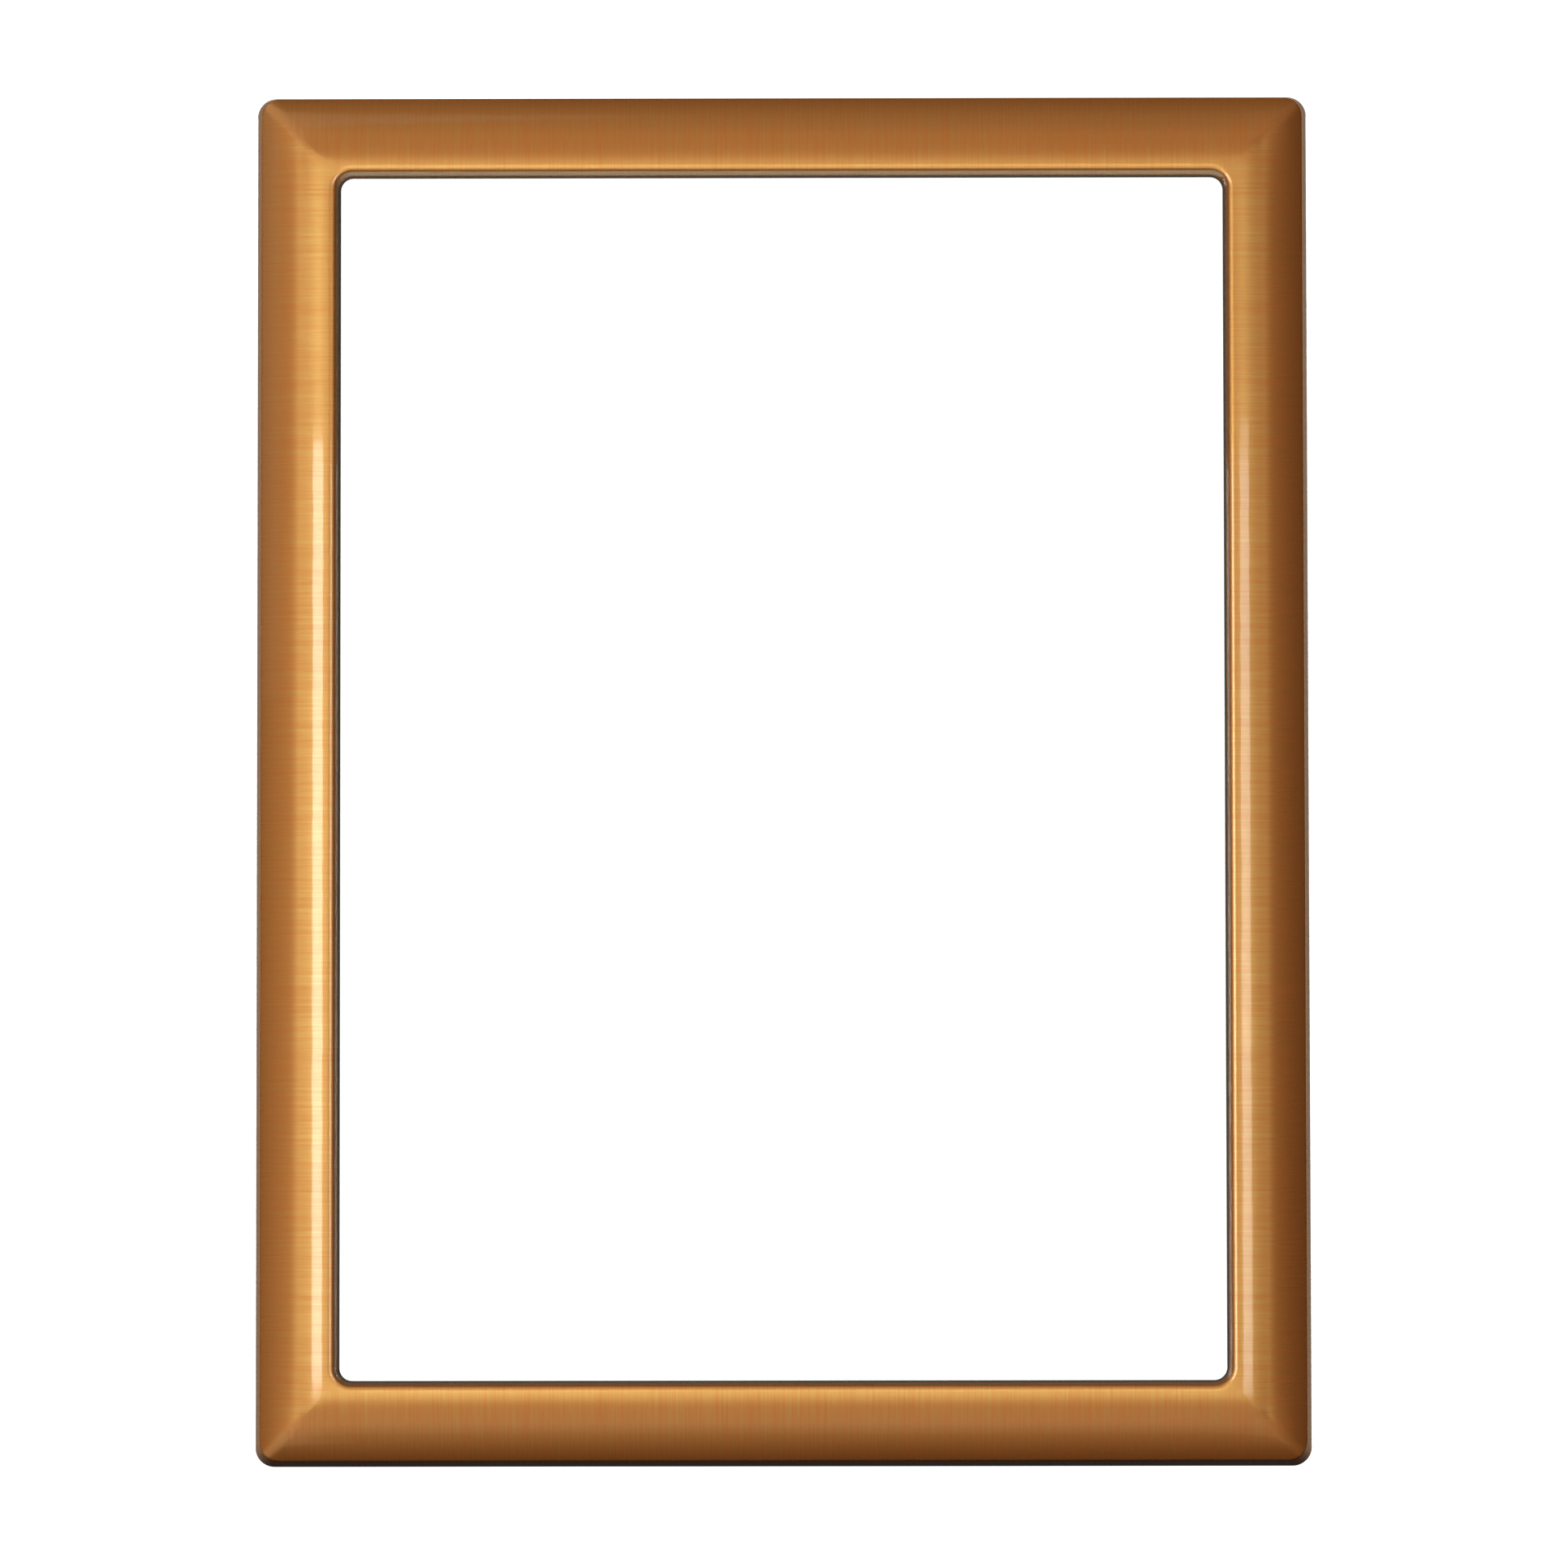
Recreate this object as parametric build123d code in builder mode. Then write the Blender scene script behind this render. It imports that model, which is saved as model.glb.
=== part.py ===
from build123d import *
from math import atan, cos, pi, sin, tan
import os

# A floating frame: a small wall frame that shows a sheet between two panes of glass.
# Its visible front is one piece of pressed bronze sheet, cushion shaped, with a flared
# skirt and a rolled inner edge.  The skirt is hemmed over a core of four mitred wooden
# rails.  The panes lie in the core's rebate between gaskets, and a back frame closes
# them in.  Eight turn buttons hold the back frame, two sawtooth hangers take the wall
# nail for either way up, and four bumpers keep the frame off the wall.
#
# X is to the right, +Z is up and the front faces -Y.  The origin is where the frame
# hangs: on the wall, at the root of the top hanger's middle notch, where its nail bears.
# "Inset" is a distance in from the outline, "height" is a distance forward from the
# plane in which hem, core and back frame are flush.  Left and right are as seen from
# the front.

# --- Driving dimensions, in millimetres ------------------------------------------------

pane_width = 180.0
pane_height = 240.0
pane_thickness = 2.0
pane_edge_chamfer = 0.3
pane_clearance = 0.25           # between a pane's edge and the rebate
sight_overlap = 7.0             # how far the rails cover each edge of a pane

rail_width = 16.25              # outline to sight edge
outline_radius = 3.6
sight_radius = 2.4

sheet = 0.8                     # thickness of the pressed bronze
skirt_flare = 1.9               # the skirt spreads by this much towards the wall
cushion_rise = 3.5              # skirt's front edge to the crest
crest_inset = 13.2              # outline to the crest
crest_land = 0.3                # flat strip along the crest
bevel_drop = 0.8                # crest to the rolled inner edge
lip_depth = 3.5                 # rolled inner edge down to the gasket
lip_draft = 0.7                 # the lip leans in by this much
lip_setback = 0.25              # the gasket shows by this much inside the lip
hem_width = 3.2
hem_corner = 1.0
hip_radius = 1.2                # round along the four hips of the cushion
bead_radius = 0.45

front_gasket_thickness = 0.5
spacer_thickness = 0.5
rear_gasket_thickness = 0.7
back_frame_thickness = 3.0
gasket_edge_gap = 0.25          # gaskets stop short of the panes' edges by this much
hidden_setback = 1.25           # what lies behind the panes' edges stays this far out of sight
back_frame_chamfer = 0.4

core_clearance = 0.15           # wooden core to pressed sheet
hem_clearance = 0.05
ring_corner = 1.0               # corner radius of gaskets, spacer and back frame

button_thickness = 1.0
button_overlap = 5.0            # tongue over the back frame
button_tip_radius = 1.9
button_side_gap = 0.2           # turned button to hem and to back frame
button_spread_short = 100.0     # between the two buttons of a short rail
button_spread_long = 150.0      # between the two buttons of a long rail
button_bore_clearance = 0.05
button_edge_chamfer = 0.2
washer_thickness = 0.3
washer_radius = 2.5
washer_bore_clearance = 0.1

pilot_clearance = 0.03          # screws to their holes in the wood
button_screw_shank = 1.0        # radius
button_screw_head = 2.1         # radius
button_screw_head_height = 1.0
button_screw_depth = 6.0        # into the wood

hanger_length = 38.0
hanger_height = 5.6
hanger_sheet = 0.8
hanger_bridge = 25.0            # length of the raised part
hanger_gap = 1.4                # room behind the raised part for a nail's head
hanger_ramp = 1.5               # length of each slope up to the raised part
tooth_pitch = 2.5
tooth_depth = 1.4
tooth_count = 9
tooth_land = 0.4                # flat tip between two notches
hanger_corner = 1.5
hanger_screw_shank = 0.8        # radius
hanger_screw_head = 1.7         # radius
hanger_screw_head_height = 0.6
hanger_screw_depth = 5.0
hanger_bore_clearance = 0.05

bumper_radius = 3.6
bumper_thickness = 2.5
bumper_round = 0.6
bumper_edge_gap = 1.4            # outline to the bumper's edge

v_nail_leg = 4.5
v_nail_thickness = 0.4
v_nail_depth = 6.5
v_nail_sunk = 0.3
v_nail_inset = 5.0

screw_head_round = 0.6          # of the head's height
screw_point = 0.5               # of the shank's radius
recess_span = 1.1               # of the head's radius
recess_slot = 0.25              # of the head's radius
recess_depth = 0.5              # of the head's height

# --- Sizes that follow ----------------------------------------------------------------

sight_width = pane_width - 2 * sight_overlap
sight_height = pane_height - 2 * sight_overlap
outline_width = sight_width + 2 * rail_width
outline_height = sight_height + 2 * rail_width

pane_inset = rail_width - sight_overlap
rebate_inset = pane_inset - pane_clearance
ring_inset = pane_inset + gasket_edge_gap           # outer edge of gaskets and back frame
lip_inset = rail_width - lip_setback
bead_inset = lip_inset - lip_draft
bevel_inset = crest_inset + crest_land
hidden_inset = rail_width - hidden_setback

rear_gasket_height = back_frame_thickness
rear_pane_height = rear_gasket_height + rear_gasket_thickness
spacer_height = rear_pane_height + pane_thickness
front_pane_height = spacer_height + spacer_thickness
front_gasket_height = front_pane_height + pane_thickness
seat_height = front_gasket_height + front_gasket_thickness
bead_height = seat_height + lip_depth
crest_height = bead_height + bevel_drop
skirt_depth = crest_height - cushion_rise

back_y = -bumper_thickness                          # where height is zero

cushion_run = crest_inset - skirt_flare
cushion_radius = (cushion_run**2 + cushion_rise**2) / (2 * cushion_rise)
cushion_arc = 60                                    # degrees, runs on past the skirt
skirt_lean = atan(skirt_flare / skirt_depth)
lip_lean = atan(lip_draft / lip_depth)
bevel_lean = atan(bevel_drop / (bead_inset - bevel_inset))

hardware_inset = (hem_width + rebate_inset) / 2     # middle of the wood that shows behind
button_radius = (rebate_inset - hem_width) / 2 - button_side_gap
button_reach = ring_inset - hardware_inset + button_overlap
bumper_inset = bumper_radius + bumper_edge_gap
notch_inset = hardware_inset + hanger_height / 2 - tooth_depth
centre_z = notch_inset - outline_height / 2         # middle of the frame

past = 5.0                                          # how far cutting shapes run past
tiny = 0.1                                          # half-width used to pick out a height

# --- Places ---------------------------------------------------------------------------

# The way from each rail towards the middle of the frame, as x and z.
inward = {"top": (0, -1), "bottom": (0, 1), "left": (1, 0), "right": (-1, 0)}


def level(height):
    """The plane parallel to the wall at a height, facing forwards, with Z as its up."""
    return Plane((0, back_y - height, centre_z), x_dir=(1, 0, 0), z_dir=(0, -1, 0))


def rail_plane(side, along, height):
    """A plane facing forwards on the bare wood of a rail, with its Y towards the middle."""
    inward_x, inward_z = inward[side]
    x = inward_z * along - inward_x * (outline_width / 2 - hardware_inset)
    z = centre_z - inward_x * along - inward_z * (outline_height / 2 - hardware_inset)
    return Plane((x, back_y - height, z), x_dir=(inward_z, 0, -inward_x), z_dir=(0, -1, 0))


def ring_size(inset):
    """Width and height of the rectangle that lies inset from the outline."""
    return outline_width - 2 * inset, outline_height - 2 * inset


def sight_corner(inset):
    """Corner radius of the curve parallel to the sight edge at an inset."""
    return sight_radius + rail_width - inset


# --- Shapes that several pieces share ---------------------------------------------------


def tapered_block(sections):
    """The solid through rounded rectangles, each a height, an inset and a corner radius."""
    with BuildPart() as block:
        for height, inset, radius in sections:
            with BuildSketch(level(height)):
                RectangleRounded(*ring_size(inset), radius)
        loft(ruled=True)
    return block.part


def arch_face(plane, span, inset):
    """The section under two arched faces, a span apart at the outline, moved in by inset."""
    arch = cushion_radius - inset
    crest = span / 2 - crest_inset
    middle = back_y - crest_height + cushion_radius
    with BuildSketch(plane) as face:
        with BuildLine():
            right = CenterArc((crest, middle), arch, -90, cushion_arc)
            left = CenterArc((-crest, middle), arch, -90 - cushion_arc, cushion_arc)
            Line(left @ 1, right @ 0)
            wide = span / 2 + past
            deep = back_y + past
            Polyline(right @ 1, (wide + past, deep), (-wide - past, deep), left @ 0)
        make_face()
    return face.sketch


def cushion_block(inset):
    """The solid inside the skirt and the arched faces, with each face moved in by inset."""
    skirt_inset = inset / cos(skirt_lean)
    corner = outline_radius - inset
    upright = Plane((0, 0, centre_z), x_dir=(0, 0, 1), z_dir=(-1, 0, 0))
    with BuildPart() as block:
        add(
            tapered_block(
                [
                    (0, skirt_inset, corner),
                    (2 * skirt_depth, skirt_inset + 2 * skirt_flare, corner),
                ]
            )
        )
        side_rails = arch_face(Plane.XY.offset(centre_z), outline_width, inset)
        extrude(to_extrude=side_rails, amount=outline_height, both=True, mode=Mode.INTERSECT)
        end_rails = arch_face(upright, outline_height, inset)
        extrude(to_extrude=end_rails, amount=outline_width, both=True, mode=Mode.INTERSECT)
    return block.part


def fold_block(depth):
    """What lies inside the rolled inner edge, at a depth under its visible surface."""
    bend = (pi / 2 - lip_lean + bevel_lean) / 2
    reach = depth / cos(bend - bevel_lean)
    foot_inset = lip_inset - depth / cos(lip_lean)
    knee_inset = bead_inset - reach * sin(bend)
    crown_inset = bevel_inset - depth * tan(bevel_lean / 2)
    return tapered_block(
        [
            (seat_height, foot_inset, sight_corner(foot_inset)),
            (bead_height - reach * cos(bend), knee_inset, sight_corner(knee_inset)),
            (crest_height - depth, crown_inset, sight_corner(crown_inset)),
        ]
    )


def ring(height, thickness, outer_inset, outer_radius, inner_inset, inner_radius):
    """A flat ring of even width."""
    with BuildPart() as flat:
        with BuildSketch(level(height)):
            RectangleRounded(*ring_size(outer_inset), outer_radius)
            RectangleRounded(*ring_size(inner_inset), inner_radius, mode=Mode.SUBTRACT)
        extrude(amount=thickness)
    return flat.part


def screw(seat, shank, head, head_height, length):
    """A round-head cross-recessed screw whose head bears on the seat plane from behind."""
    with BuildPart() as body:
        with BuildSketch(seat.offset(-head_height)):
            Circle(head)
        extrude(amount=head_height)
        fillet(body.edges().sort_by(Axis.Y)[-1], screw_head_round * head_height)
        with BuildSketch(seat):
            Circle(shank)
        extrude(amount=length)
        chamfer(body.edges().sort_by(Axis.Y)[0], screw_point * shank)
        with BuildSketch(seat.offset(-head_height)):
            Rectangle(head * recess_span, head * recess_slot)
            Rectangle(head * recess_slot, head * recess_span)
        extrude(amount=head_height * recess_depth, mode=Mode.SUBTRACT)
    return body.part


def v_nail(sign_x, sign_z):
    """A V-shaped nail across the mitre at one corner, with a leg along each rail."""
    x = sign_x * (outline_width / 2 - v_nail_inset)
    z = sign_z * (outline_height / 2 - v_nail_inset)
    leg_x = x - sign_x * v_nail_leg
    leg_z = z - sign_z * v_nail_leg
    inner_x = x - sign_x * v_nail_thickness
    inner_z = z - sign_z * v_nail_thickness
    with BuildPart() as nail:
        with BuildSketch(level(v_nail_sunk)):
            with BuildLine():
                Polyline(
                    (x, z), (leg_x, z), (leg_x, inner_z), (inner_x, inner_z),
                    (inner_x, leg_z), (x, leg_z), close=True,
                )
            make_face()
        extrude(amount=v_nail_depth)
    return nail.part


half_short = button_spread_short / 2
half_long = button_spread_long / 2
button_places = {
    "top_left": ("top", half_short),
    "top_right": ("top", -half_short),
    "bottom_left": ("bottom", -half_short),
    "bottom_right": ("bottom", half_short),
    "left_upper": ("left", -half_long),
    "left_lower": ("left", half_long),
    "right_upper": ("right", half_long),
    "right_lower": ("right", -half_long),
}
hanger_sides = ["top", "right"]
hanger_screw_offset = (hanger_length + hanger_bridge + 2 * hanger_ramp) / 4
hanger_screw_places = [
    (side, sign * hanger_screw_offset) for side in hanger_sides for sign in (-1, 1)
]
corner_signs = {
    "top_left": (-1, 1),
    "top_right": (1, 1),
    "bottom_left": (-1, -1),
    "bottom_right": (1, -1),
}

# --- Front shell: pressed bronze sheet ---------------------------------------------------

sight_sections = [
    (seat_height, lip_inset, sight_corner(lip_inset)),
    (bead_height, bead_inset, sight_corner(bead_inset)),
    (crest_height, bevel_inset, sight_corner(bevel_inset)),
]

with BuildPart() as hollow:
    add(cushion_block(sheet))
    add(fold_block(sheet), mode=Mode.SUBTRACT)
    with BuildSketch(level(0)):
        RectangleRounded(*ring_size(0), outline_radius)
        RectangleRounded(*ring_size(hem_width), hem_corner, mode=Mode.SUBTRACT)
    extrude(amount=sheet, mode=Mode.SUBTRACT)

with BuildPart() as front_shell:
    add(cushion_block(0))
    fillet(front_shell.edges().filter_by(GeomType.ELLIPSE), hip_radius)
    add(tapered_block(sight_sections), mode=Mode.SUBTRACT)
    bead = front_shell.edges().filter_by_position(
        Axis.Y, back_y - bead_height - tiny, back_y - bead_height + tiny
    )
    fillet(bead, bead_radius)
    add(hollow.part, mode=Mode.SUBTRACT)
front_shell.part.label = "front_shell"

# --- Core: four mitred wooden rails ------------------------------------------------------

with BuildPart() as corner_v_nails:
    for sign_x, sign_z in corner_signs.values():
        add(v_nail(sign_x, sign_z))
corner_v_nails.part.label = "corner_v_nails"

with BuildPart() as core:
    add(cushion_block(sheet + core_clearance))
    add(fold_block(sheet + core_clearance), mode=Mode.SUBTRACT)
    with BuildSketch(level(-past)):
        Rectangle(*ring_size(rebate_inset))
    extrude(amount=past + seat_height, mode=Mode.SUBTRACT)
    with BuildSketch(level(-past)):
        Rectangle(*ring_size(-past))
        RectangleRounded(*ring_size(hem_width + hem_clearance), hem_corner, mode=Mode.SUBTRACT)
    extrude(amount=past + sheet + hem_clearance, mode=Mode.SUBTRACT)
    for side, along in button_places.values():
        with BuildSketch(rail_plane(side, along, 0)):
            Circle(button_screw_shank + pilot_clearance)
        extrude(amount=button_screw_depth + pilot_clearance, mode=Mode.SUBTRACT)
    for side, along in hanger_screw_places:
        with BuildSketch(rail_plane(side, along, 0)):
            Circle(hanger_screw_shank + pilot_clearance)
        extrude(amount=hanger_screw_depth + pilot_clearance, mode=Mode.SUBTRACT)
    add(corner_v_nails.part, mode=Mode.SUBTRACT)


def core_rail(side):
    """The part of the core between two mitres."""
    inward_x, inward_z = inward[side]
    reach_x, reach_z = ring_size(-past)
    deep = rail_width + past + tiny
    if inward_x:
        outer = -inward_x * reach_x / 2
        inner = outer + inward_x * deep
        half = reach_z / 2
        corners = [(outer, half), (outer, -half), (inner, deep - half), (inner, half - deep)]
    else:
        outer = -inward_z * reach_z / 2
        inner = outer + inward_z * deep
        half = reach_x / 2
        corners = [(half, outer), (-half, outer), (deep - half, inner), (half - deep, inner)]
    with BuildPart() as rail:
        with BuildSketch(level(-past)):
            with BuildLine():
                Polyline(*corners, close=True)
            make_face()
        extrude(amount=2 * past + crest_height)
        add(core.part, mode=Mode.INTERSECT)
    return rail.part


# --- What lies in the rebate, from the front ---------------------------------------------

front_gasket = ring(
    front_gasket_height, front_gasket_thickness,
    ring_inset, ring_corner, rail_width, sight_radius,
)
pane_spacer = ring(
    spacer_height, spacer_thickness,
    ring_inset, ring_corner, hidden_inset, sight_corner(hidden_inset),
)
rear_gasket = ring(
    rear_gasket_height, rear_gasket_thickness,
    ring_inset, ring_corner, hidden_inset, sight_corner(hidden_inset),
)
with BuildPart() as back_frame:
    add(
        ring(
            0, back_frame_thickness,
            ring_inset, ring_corner, hidden_inset, sight_corner(hidden_inset),
        )
    )
    back_edges = back_frame.faces().sort_by(Axis.Y)[-1].edges()
    chamfer(back_edges, back_frame_chamfer)


def pane(height):
    """A sheet of glass with seamed edges."""
    with BuildPart() as glass:
        with BuildSketch(level(height)):
            Rectangle(pane_width, pane_height)
        extrude(amount=pane_thickness)
        chamfer(glass.edges(), pane_edge_chamfer)
    return glass.part


# --- Hardware on the back ----------------------------------------------------------------


def turn_button(side, along):
    """A flat button that turns about its screw, with its tongue over the back frame."""
    seat = rail_plane(side, along, -washer_thickness)
    with BuildPart() as button:
        with BuildSketch(seat):
            Circle(button_radius)
            with Locations((0, button_reach - button_tip_radius)):
                Circle(button_tip_radius)
            make_hull()
        extrude(amount=-button_thickness)
        chamfer(button.faces().sort_by(Axis.Y)[-1].edges(), button_edge_chamfer)
        with BuildSketch(seat):
            Circle(button_screw_shank + button_bore_clearance)
        extrude(amount=-button_thickness, mode=Mode.SUBTRACT)
    return button.part


with BuildPart() as button_washers:
    for side, along in button_places.values():
        with BuildSketch(rail_plane(side, along, 0)):
            Circle(washer_radius)
            Circle(button_screw_shank + washer_bore_clearance, mode=Mode.SUBTRACT)
        extrude(amount=-washer_thickness)

with BuildPart() as button_screws:
    for side, along in button_places.values():
        seat = rail_plane(side, along, -washer_thickness - button_thickness)
        length = button_screw_depth + washer_thickness + button_thickness
        add(
            screw(
                seat, button_screw_shank, button_screw_head, button_screw_head_height, length
            )
        )


def sawtooth_hanger(side):
    """A strip screwed down at its ends, raised between them, with teeth for a nail."""
    wood = rail_plane(side, 0, 0)
    section = Plane(wood.origin, x_dir=wood.x_dir, z_dir=wood.y_dir)
    half = hanger_length / 2
    raised = hanger_bridge / 2
    foot = raised + hanger_ramp
    with BuildPart() as strip:
        with BuildSketch(section):
            with BuildLine():
                Polyline(
                    (-half, 0), (-foot, 0), (-raised, hanger_gap), (raised, hanger_gap),
                    (foot, 0), (half, 0), (half, hanger_sheet), (foot, hanger_sheet),
                    (raised, hanger_gap + hanger_sheet), (-raised, hanger_gap + hanger_sheet),
                    (-foot, hanger_sheet), (-half, hanger_sheet), close=True,
                )
            make_face()
        extrude(amount=hanger_height / 2, both=True)
        with BuildSketch(wood):
            RectangleRounded(hanger_length, hanger_height, hanger_corner)
            with GridLocations(tooth_pitch, 0, tooth_count, 1):
                with BuildLine():
                    Polyline(
                        (-tooth_pitch / 2 + tooth_land / 2, hanger_height / 2),
                        (0, hanger_height / 2 - tooth_depth),
                        (tooth_pitch / 2 - tooth_land / 2, hanger_height / 2),
                        close=True,
                    )
                make_face(mode=Mode.SUBTRACT)
        extrude(amount=past, both=True, mode=Mode.INTERSECT)
        with BuildSketch(wood):
            with GridLocations(2 * hanger_screw_offset, 0, 2, 1):
                Circle(hanger_screw_shank + hanger_bore_clearance)
        extrude(amount=-past, mode=Mode.SUBTRACT)
    return strip.part


with BuildPart() as hanger_screws:
    for side, along in hanger_screw_places:
        seat = rail_plane(side, along, -hanger_sheet)
        length = hanger_screw_depth + hanger_sheet
        add(
            screw(
                seat, hanger_screw_shank, hanger_screw_head, hanger_screw_head_height, length
            )
        )


def bumper(sign_x, sign_z):
    """A soft round foot near a corner that rests on the wall."""
    x = sign_x * (outline_width / 2 - bumper_inset)
    z = sign_z * (outline_height / 2 - bumper_inset)
    with BuildPart() as foot:
        with BuildSketch(level(0)):
            with Locations((x, z)):
                Circle(bumper_radius)
        extrude(amount=-bumper_thickness)
        fillet(foot.edges().sort_by(Axis.Y)[-1], bumper_round)
    return foot.part


# --- Files -------------------------------------------------------------------------------

pieces = {
    "front_shell": front_shell.part,
    "corner_v_nails": corner_v_nails.part,
    "front_gasket": front_gasket,
    "front_pane": pane(front_pane_height),
    "pane_spacer": pane_spacer,
    "rear_pane": pane(rear_pane_height),
    "rear_gasket": rear_gasket,
    "back_frame": back_frame.part,
    "button_washers": button_washers.part,
    "button_screws": button_screws.part,
    "hanger_screws": hanger_screws.part,
}
for side in inward:
    pieces["core_" + side] = core_rail(side)
for place, (side, along) in button_places.items():
    pieces["turn_button_" + place] = turn_button(side, along)
for side in hanger_sides:
    pieces["hanger_" + side] = sawtooth_hanger(side)
for corner, (sign_x, sign_z) in corner_signs.items():
    pieces["bumper_" + corner] = bumper(sign_x, sign_z)

os.makedirs("parts", exist_ok=True)
for name, piece in pieces.items():
    piece.label = name
    export_step(piece, "parts/" + name + ".step")
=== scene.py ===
from math import cos, pi, radians, sin, sqrt

import bmesh
import bpy
from mathutils import Matrix, Vector


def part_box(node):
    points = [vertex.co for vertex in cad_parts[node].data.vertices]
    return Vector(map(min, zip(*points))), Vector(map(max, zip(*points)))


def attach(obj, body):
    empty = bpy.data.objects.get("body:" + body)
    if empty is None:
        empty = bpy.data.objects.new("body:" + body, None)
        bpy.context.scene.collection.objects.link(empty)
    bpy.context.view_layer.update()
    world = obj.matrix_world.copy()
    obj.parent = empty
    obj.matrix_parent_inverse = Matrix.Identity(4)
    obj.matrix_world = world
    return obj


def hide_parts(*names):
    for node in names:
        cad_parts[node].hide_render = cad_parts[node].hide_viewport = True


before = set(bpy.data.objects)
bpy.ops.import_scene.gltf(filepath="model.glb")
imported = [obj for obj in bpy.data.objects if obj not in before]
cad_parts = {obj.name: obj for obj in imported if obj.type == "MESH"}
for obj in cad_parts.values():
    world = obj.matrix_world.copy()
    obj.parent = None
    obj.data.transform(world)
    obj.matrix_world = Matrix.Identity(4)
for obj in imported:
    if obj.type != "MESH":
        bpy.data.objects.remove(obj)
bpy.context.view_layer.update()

bl_info = {
    "name": "Floating frame",
    "version": (1, 0, 0),
    "blender": (4, 5, 0),
    "location": "3D View > Sidebar > Floating frame",
    "description": "Finishes the pieces of a bronze floating frame and sets up its stage",
    "category": "Object",
}

MM = 0.001
SHELL_LOW, SHELL_HIGH = (Vector(corner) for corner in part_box("front_shell"))
WIDTH = SHELL_HIGH.x - SHELL_LOW.x
HEIGHT = SHELL_HIGH.z - SHELL_LOW.z
DEPTH = SHELL_HIGH.y - SHELL_LOW.y
BACK = SHELL_HIGH.y
CENTRE = (SHELL_LOW + SHELL_HIGH) / 2


def linear(hex_colour):
    """An sRGB hex colour as linear red, green and blue."""
    values = [int(hex_colour[i : i + 2], 16) / 255 for i in (1, 3, 5)]
    return [v / 12.92 if v <= 0.04045 else ((v + 0.055) / 1.055) ** 2.4 for v in values]


def opaque(hex_colour):
    """The same colour with full alpha, as a shader's colour socket takes it."""
    return (*linear(hex_colour), 1.0)


def length(name, description, millimetres):
    """A property that holds a length, shown in the scene's units."""
    return bpy.props.FloatProperty(
        name=name, description=description, default=millimetres * MM,
        min=0.0, unit="LENGTH", precision=5,
    )


def angle(name, description, degrees):
    """A property that holds an angle, given in degrees."""
    return bpy.props.FloatProperty(
        name=name, description=description, default=radians(degrees), subtype="ANGLE"
    )


def colour(name, description, hex_colour):
    """A property that holds a colour."""
    return bpy.props.FloatVectorProperty(
        name=name, description=description, default=linear(hex_colour),
        size=3, min=0.0, max=1.0, subtype="COLOR",
    )


class ShellSizes(bpy.types.PropertyGroup):
    """Sizes of the pressed front shell's section"""

    rail: length("Rail", "Outline to sight edge", 16.25)
    outline_radius: length("Outline radius", "Outer corner", 3.6)
    sight_radius: length("Sight radius", "Corner at the sight edge", 2.4)
    flare: length("Flare", "How far the skirt spreads towards the wall", 1.3)
    rise: length("Rise", "Skirt's front edge to the crest", 3.5)
    crest: length("Crest", "Outline to the crest", 13.5)
    land: length("Land", "Flat strip along the crest", 0.6)
    brow: length("Brow", "Radius with which the crest starts to roll over", 3.0)
    edge: length("Edge", "Radius with which it turns down into the inner wall", 0.5)
    lip: length("Lip", "Crest down to the gasket", 4.3)
    setback: length("Setback", "Gasket that shows inside the lip", 0.25)
    hem: length("Hem", "Width of the fold round the back", 3.2)
    sheet: length("Sheet", "Thickness of the sheet", 0.8)
    hip: length("Hip", "How far the soft hips are pressed down", 0.9)
    hip_radius: length("Hip radius", "Smallest corner of the loops on the face", 1.6)


class Finishes(bpy.types.PropertyGroup):
    """Colours of the finishes"""

    bronze_polish: colour("Polished bronze", "Tops of the brush lines", "#eed47e")
    bronze_groove: colour("Bronze skin", "Grooves between the brush lines", "#f2984a")
    spot: colour("Spot", "Pin-head spots in the bronze", "#7a3a14")
    limewood: colour("Limewood", "Core rails", "#c6a77c")
    limewood_dark: colour("Limewood grain", "Core rails", "#a98558")
    fibreboard: colour("Fibreboard", "Back frame", "#6a4a2f")
    foam: colour("Foam", "Gaskets", "#4a4743")
    button: colour("Button steel", "Black turn buttons", "#1d1d1f")
    zinc: colour("Zinc", "Screws", "#b9bcc0")
    brass: colour("Brass", "Hangers", "#c8a04c")


class StageSizes(bpy.types.PropertyGroup):
    """Camera and floor"""

    lens: bpy.props.FloatProperty(
        name="Lens", description="Focal length", default=200.0, subtype="DISTANCE_CAMERA"
    )
    distance: length("Distance", "Camera to the wall plane", 1645.6)
    tilt: angle("Tilt", "Frame's lean seen from the camera", -3.14)
    turn: angle("Turn", "Frame's turn seen from the camera", -0.24)
    roll: angle("Roll", "Frame's roll seen from the camera", 0.09)
    drop: length("Drop", "Frame's lowest edge to the floor", 140.0)
    floor: length("Floor", "Middle of the floor to its edge", 1200.0)


# --- Materials ----------------------------------------------------------------------------


def add_node(tree, kind, inputs=None, **settings):
    """Adds a node, sets its settings, and fills its inputs with values or links."""
    node = tree.nodes.new(kind)
    for name, value in settings.items():
        setattr(node, name, value)
    for name, value in (inputs or {}).items():
        if isinstance(value, bpy.types.NodeSocket):
            tree.links.new(value, node.inputs[name])
        else:
            node.inputs[name].default_value = value
    return node


def new_material(name):
    """An empty material with its node tree."""
    material = bpy.data.materials.new(name)
    material.use_nodes = True
    material.node_tree.nodes.clear()
    return material, material.node_tree


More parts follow.
